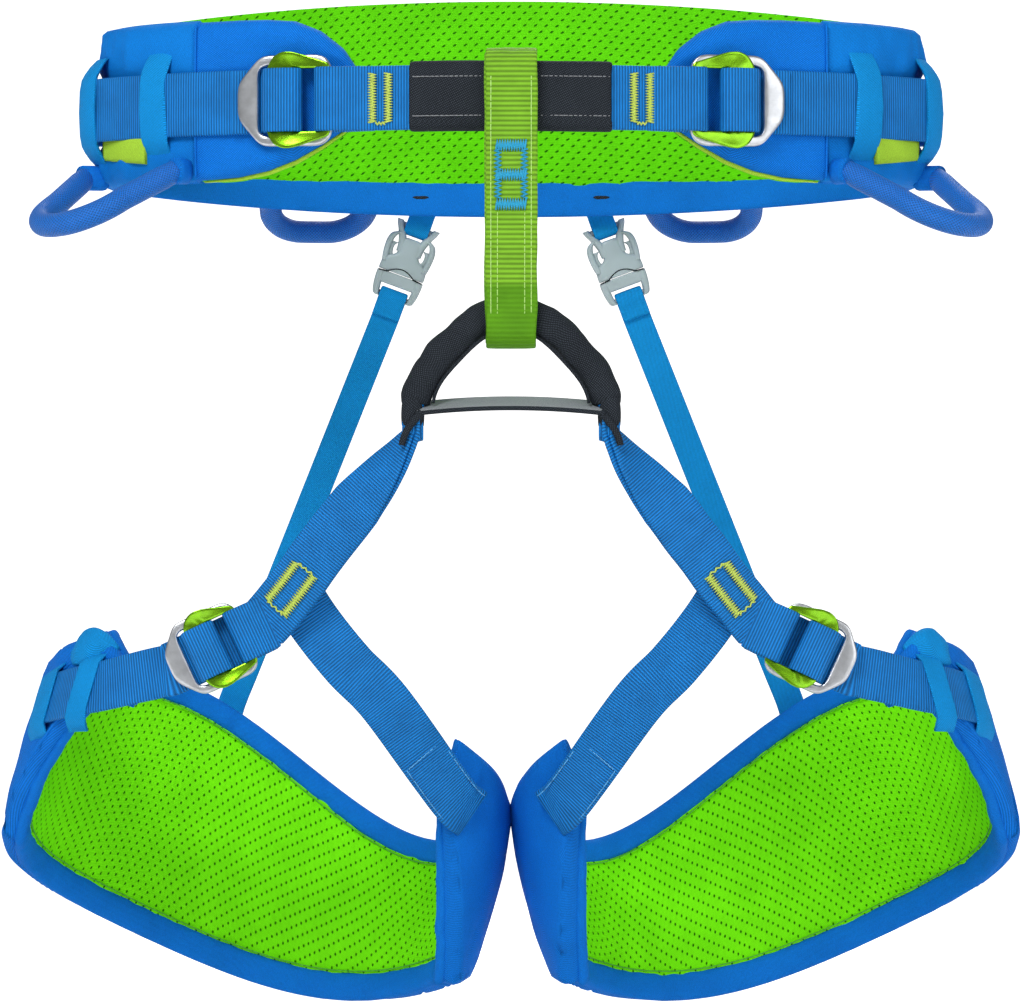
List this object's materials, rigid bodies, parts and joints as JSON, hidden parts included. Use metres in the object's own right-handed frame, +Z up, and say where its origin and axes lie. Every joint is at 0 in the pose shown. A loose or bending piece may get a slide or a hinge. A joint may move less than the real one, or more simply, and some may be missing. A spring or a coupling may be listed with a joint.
{
  "type": "climbing harness",
  "caption": "Padded waist belt with tie-in loop, belay loop, adjustable leg loops, rear elastic risers and tubular gear loops.",
  "frame": {"origin": "centre of the waist belt's opening, at the middle of the tie-in webbing's height", "axes": "+Z up through the waist, +Y to the wearer's back, +X to the wearer's left"},
  "size_m": [0.4532, 0.2165, 0.4606],
  "materials": {
    "blue_cloth": "woven polyester cloth, bright blue, satin sheen",
    "blue_webbing": "ribbed polyamide webbing, blue",
    "blue_elastic": "woven elastic tape, light blue",
    "lime_mesh": "perforated spacer mesh, lime green",
    "foam": "closed-cell foam, dark grey, sealed inside the cloth",
    "green_webbing": "ribbed webbing, leaf green, bar-tacked in light blue",
    "grey_cloth": "tight abrasion-resistant cloth, dark grey",
    "grey_tape": "narrow woven tape, mid grey",
    "silver_alloy": "satin polished aluminium alloy",
    "green_alloy": "gloss green anodised aluminium alloy",
    "grey_plastic": "satin acetal, light grey",
    "blue_cord": "woven tube over a plastic core, blue"
  },
  "bodies": {
    "waist_belt": {"belt_outer_shell": "blue_cloth", "belt_foam_core": "foam", "belt_mesh_lining": "lime_mesh", "belt_lower_binding": "blue_cloth", "waist_webbing": "blue_webbing", "tie_in_webbing": "blue_webbing", "tie_in_sleeve": "grey_cloth", "bridge_webbing": "blue_webbing", "bridge_sleeve": "grey_cloth", "bridge_cross_strap": "grey_tape", "wing_cover_left": "blue_cloth", "wing_foam_left": "foam", "wing_lining_left": "lime_mesh", "webbing_keepers_left": "blue_elastic", "waist_buckle_frame_left": "silver_alloy", "riser_anchor_left": "blue_webbing", "riser_clip_socket_left": "grey_plastic", "riser_clip_plug_left": "grey_plastic", "riser_strap_left": "blue_elastic", "wing_cover_right": "blue_cloth", "wing_foam_right": "foam", "wing_lining_right": "lime_mesh", "webbing_keepers_right": "blue_elastic", "waist_buckle_frame_right": "silver_alloy", "riser_anchor_right": "blue_webbing", "riser_clip_socket_right": "grey_plastic", "riser_clip_plug_right": "grey_plastic", "riser_strap_right": "blue_elastic"},
    "belay_loop": {"belay_loop": "green_webbing"},
    "leg_left": {"leg_cover_left": "blue_cloth", "leg_foam_left": "foam", "leg_lining_left": "lime_mesh", "leg_binding_left": "blue_cloth", "front_strap_left": "blue_webbing", "adjuster_strap_left": "blue_webbing", "crotch_strap_left": "blue_webbing", "strap_keepers_left": "blue_elastic", "leg_buckle_frame_left": "silver_alloy"},
    "waist_slider_left": {"waist_buckle_slider_left": "green_alloy"},
    "leg_slider_left": {"leg_buckle_slider_left": "green_alloy"},
    "gear_loop_front_left": {"gear_loop_front_left": "blue_cord"},
    "gear_loop_rear_left": {"gear_loop_rear_left": "blue_cord"},
    "clip_prong_left_inner": {"clip_prong_left_inner": "grey_plastic"},
    "clip_prong_left_outer": {"clip_prong_left_outer": "grey_plastic"},
    "leg_right": {"leg_cover_right": "blue_cloth", "leg_foam_right": "foam", "leg_lining_right": "lime_mesh", "leg_binding_right": "blue_cloth", "front_strap_right": "blue_webbing", "adjuster_strap_right": "blue_webbing", "crotch_strap_right": "blue_webbing", "strap_keepers_right": "blue_elastic", "leg_buckle_frame_right": "silver_alloy"},
    "waist_slider_right": {"waist_buckle_slider_right": "green_alloy"},
    "leg_slider_right": {"leg_buckle_slider_right": "green_alloy"},
    "gear_loop_front_right": {"gear_loop_front_right": "blue_cord"},
    "gear_loop_rear_right": {"gear_loop_rear_right": "blue_cord"},
    "clip_prong_right_inner": {"clip_prong_right_inner": "grey_plastic"},
    "clip_prong_right_outer": {"clip_prong_right_outer": "grey_plastic"}
  },
  "joints": [
    {"name": "belay_loop_sway", "type": "hinge", "parent": "waist_belt", "child": "belay_loop", "pos_m": [0, -0.0924, -0.1345], "axis": [0, 1, 0], "range_deg": [-3, 3]},
    {"name": "waist_slider_tilt_left", "type": "hinge", "parent": "waist_belt", "child": "waist_slider_left", "pos_m": [-0.07964, -0.08088, 0], "axis": [0, 0, 1], "range_deg": [0, 20]},
    {"name": "leg_swing_left", "type": "hinge", "parent": "waist_belt", "child": "leg_left", "pos_m": [-0.042, -0.0924, -0.142], "axis": [-1, 0, 0], "range_deg": [-12, 30], "stiffness_Nm_per_rad": 0.3, "deforming": ["riser_strap_left"]},
    {"name": "leg_slider_tilt_left", "type": "hinge", "parent": "leg_left", "child": "leg_slider_left", "pos_m": [-0.11557, -0.08036, -0.23017], "axis": [-0.4211, 0.0859, 0.903], "range_deg": [0, 20]},
    {"name": "gear_loop_lift_front_left", "type": "hinge", "parent": "waist_belt", "child": "gear_loop_front_left", "pos_m": [-0.1675, -0.03353, -0.029], "axis": [-0.6855, 0.7281, 0], "range_deg": [-25, 40], "stiffness_Nm_per_rad": 0.05},
    {"name": "gear_loop_lift_rear_left", "type": "hinge", "parent": "waist_belt", "child": "gear_loop_rear_left", "pos_m": [-0.08647, 0.07581, -0.024], "axis": [0.9749, 0.2228, 0], "range_deg": [-20, 35], "stiffness_Nm_per_rad": 0.05},
    {"name": "clip_prong_press_left_inner", "type": "hinge", "parent": "waist_belt", "child": "clip_prong_left_inner", "pos_m": [-0.04438, 0.08265, -0.06897], "axis": [0.0173, 0.9988, 0.0468], "range_deg": [-5, 0]},
    {"name": "clip_prong_press_left_outer", "type": "hinge", "parent": "waist_belt", "child": "clip_prong_left_outer", "pos_m": [-0.05752, 0.08265, -0.06413], "axis": [0.0173, 0.9988, 0.0468], "range_deg": [0, 5], "stiffness_Nm_per_rad": 0.01},
    {"name": "waist_slider_tilt_right", "type": "hinge", "parent": "waist_belt", "child": "waist_slider_right", "pos_m": [0.07964, -0.08088, 0], "axis": [0, 0, -1], "range_deg": [0, 20]},
    {"name": "leg_swing_right", "type": "hinge", "parent": "waist_belt", "child": "leg_right", "pos_m": [0.042, -0.0924, -0.142], "axis": [-1, 0, 0], "range_deg": [-12, 30], "stiffness_Nm_per_rad": 0.3, "deforming": ["riser_strap_right"]},
    {"name": "leg_slider_tilt_right", "type": "hinge", "parent": "leg_right", "child": "leg_slider_right", "pos_m": [0.11557, -0.08036, -0.23017], "axis": [-0.4211, -0.0859, -0.903], "range_deg": [0, 20]},
    {"name": "gear_loop_lift_front_right", "type": "hinge", "parent": "waist_belt", "child": "gear_loop_front_right", "pos_m": [0.1675, -0.03353, -0.029], "axis": [-0.6855, -0.7281, 0], "range_deg": [-25, 40], "stiffness_Nm_per_rad": 0.05},
    {"name": "gear_loop_lift_rear_right", "type": "hinge", "parent": "waist_belt", "child": "gear_loop_rear_right", "pos_m": [0.08647, 0.07581, -0.024], "axis": [0.9749, -0.2228, 0], "range_deg": [-20, 35], "stiffness_Nm_per_rad": 0.05},
    {"name": "clip_prong_press_right_inner", "type": "hinge", "parent": "waist_belt", "child": "clip_prong_right_inner", "pos_m": [0.04438, 0.08265, -0.06897], "axis": [-0.0173, 0.9988, 0.0468], "range_deg": [0, 5], "stiffness_Nm_per_rad": 0.01},
    {"name": "clip_prong_press_right_outer", "type": "hinge", "parent": "waist_belt", "child": "clip_prong_right_outer", "pos_m": [0.05752, 0.08265, -0.06413], "axis": [-0.0173, 0.9988, 0.0468], "range_deg": [-5, 0]}
  ],
  "couplings": [
    {"joint": "clip_prong_press_left_inner", "follows": "clip_prong_press_left_outer", "ratio": -1},
    {"joint": "clip_prong_press_right_outer", "follows": "clip_prong_press_right_inner", "ratio": -1}
  ]
}
